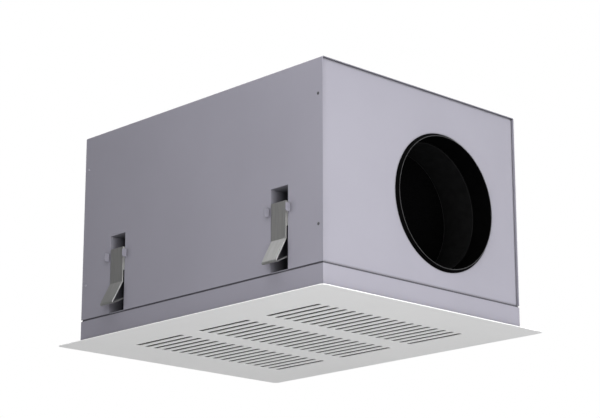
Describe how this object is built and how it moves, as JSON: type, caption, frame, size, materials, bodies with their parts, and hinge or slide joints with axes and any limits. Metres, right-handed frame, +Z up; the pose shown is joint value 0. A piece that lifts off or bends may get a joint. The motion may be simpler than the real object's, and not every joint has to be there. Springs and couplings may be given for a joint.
{
  "type": "ceiling heat recovery unit",
  "caption": "Recessed ceiling heat recovery unit: sheet steel casing with a round duct port, slotted face plate, fold-in spring clips, ceramic heat store and fan.",
  "frame": {"origin": "centre of the face plate's underside", "axes": "+Z up from the room into the ceiling, +X out of the duct port along the longer side, +Y across the casing"},
  "size_m": [0.592, 0.466, 0.3383],
  "materials": {
    "casing_paint": "satin",
    "pocket_steel": "satin",
    "plate_paint": "satin",
    "clip_steel": "satin",
    "spring_steel": "satin",
    "zinc_steel": "satin",
    "rivet_steel": "satin",
    "bearing_steel": "polished",
    "black_plastic": "satin",
    "black_foam": "matte",
    "core_ceramic": "matte",
    "motor_winding": "satin",
    "white_plastic": "satin",
    "board_green": "satin",
    "filter_card": "matte",
    "filter_fleece": "matte"
  },
  "bodies": {
    "casing": {"casing_shell": "casing_paint", "duct_end_panel": "casing_paint", "rear_end_panel": "casing_paint", "collar_frame": "casing_paint", "guide_lugs": "casing_paint", "clip_pocket_1": "pocket_steel", "clip_pocket_2": "pocket_steel", "clip_pocket_3": "pocket_steel", "clip_pocket_4": "pocket_steel", "clip_spring_1": "spring_steel", "clip_spring_2": "spring_steel", "clip_spring_3": "spring_steel", "clip_spring_4": "spring_steel", "clip_pins": "zinc_steel", "collar_screws": "zinc_steel", "collar_nuts": "zinc_steel", "fan_screws": "zinc_steel", "control_lid_screws": "zinc_steel", "tube_cradle_front": "zinc_steel", "tube_cradle_rear": "zinc_steel", "casing_rivets": "rivet_steel", "fan_bearings": "bearing_steel", "duct_collar": "black_plastic", "duct_lock_ring": "black_plastic", "core_housing": "black_plastic", "fan_housing": "black_plastic", "cable_gland": "black_plastic", "gland_nut": "black_plastic", "outdoor_filter": "black_foam", "core_seal_front": "black_foam", "core_seal_rear": "black_foam", "seam_gasket": "black_foam", "top_liner": "black_foam", "side_liner_left": "black_foam", "side_liner_right": "black_foam", "duct_end_liner": "black_foam", "rear_end_liner": "black_foam", "heat_core": "core_ceramic", "fan_stator": "motor_winding", "control_box_base": "white_plastic", "control_box_lid": "white_plastic", "catch_sockets": "white_plastic", "control_board": "board_green", "terminal_block": "board_green"},
    "front": {"face_plate": "plate_paint", "filter_tray": "plate_paint", "filter_frame": "filter_card", "filter_media": "filter_fleece", "catch_studs": "zinc_steel"},
    "fan": {"fan_impeller": "black_plastic", "fan_shaft": "bearing_steel"},
    "clip_arm_1": {"clip_1": "clip_steel"},
    "clip_arm_2": {"clip_2": "clip_steel"},
    "clip_arm_3": {"clip_3": "clip_steel"},
    "clip_arm_4": {"clip_4": "clip_steel"}
  },
  "joints": [
    {"name": "clip_hinge_1", "type": "hinge", "parent": "casing", "child": "clip_arm_1", "pos_m": [-0.1823, -0.2004, 0.1283], "axis": [1, 0, 0], "range_deg": [0, 15.5], "stiffness_Nm_per_rad": 0.28, "springref_deg": -68.75, "deforming": ["clip_spring_1"]},
    {"name": "clip_hinge_2", "type": "hinge", "parent": "casing", "child": "clip_arm_2", "pos_m": [0.1823, -0.2004, 0.1283], "axis": [1, 0, 0], "range_deg": [0, 15.5], "stiffness_Nm_per_rad": 0.28, "springref_deg": -68.75, "deforming": ["clip_spring_2"]},
    {"name": "clip_hinge_3", "type": "hinge", "parent": "casing", "child": "clip_arm_3", "pos_m": [0.1823, 0.2004, 0.1283], "axis": [-1, 0, 0], "range_deg": [0, 15.5], "stiffness_Nm_per_rad": 0.28, "springref_deg": -68.75, "deforming": ["clip_spring_3"]},
    {"name": "clip_hinge_4", "type": "hinge", "parent": "casing", "child": "clip_arm_4", "pos_m": [-0.1823, 0.2004, 0.1283], "axis": [-1, 0, 0], "range_deg": [0, 15.5], "stiffness_Nm_per_rad": 0.28, "springref_deg": -68.75, "deforming": ["clip_spring_4"]},
    {"name": "fan_spin", "type": "hinge", "parent": "casing", "child": "fan", "pos_m": [0, 0.0466, 0.1723], "axis": [1, 0, 0], "continuous": true},
    {"name": "front_drop", "type": "slide", "parent": "casing", "child": "front", "axis": [0, 0, -1], "range_m": [0, 0.1]}
  ]
}
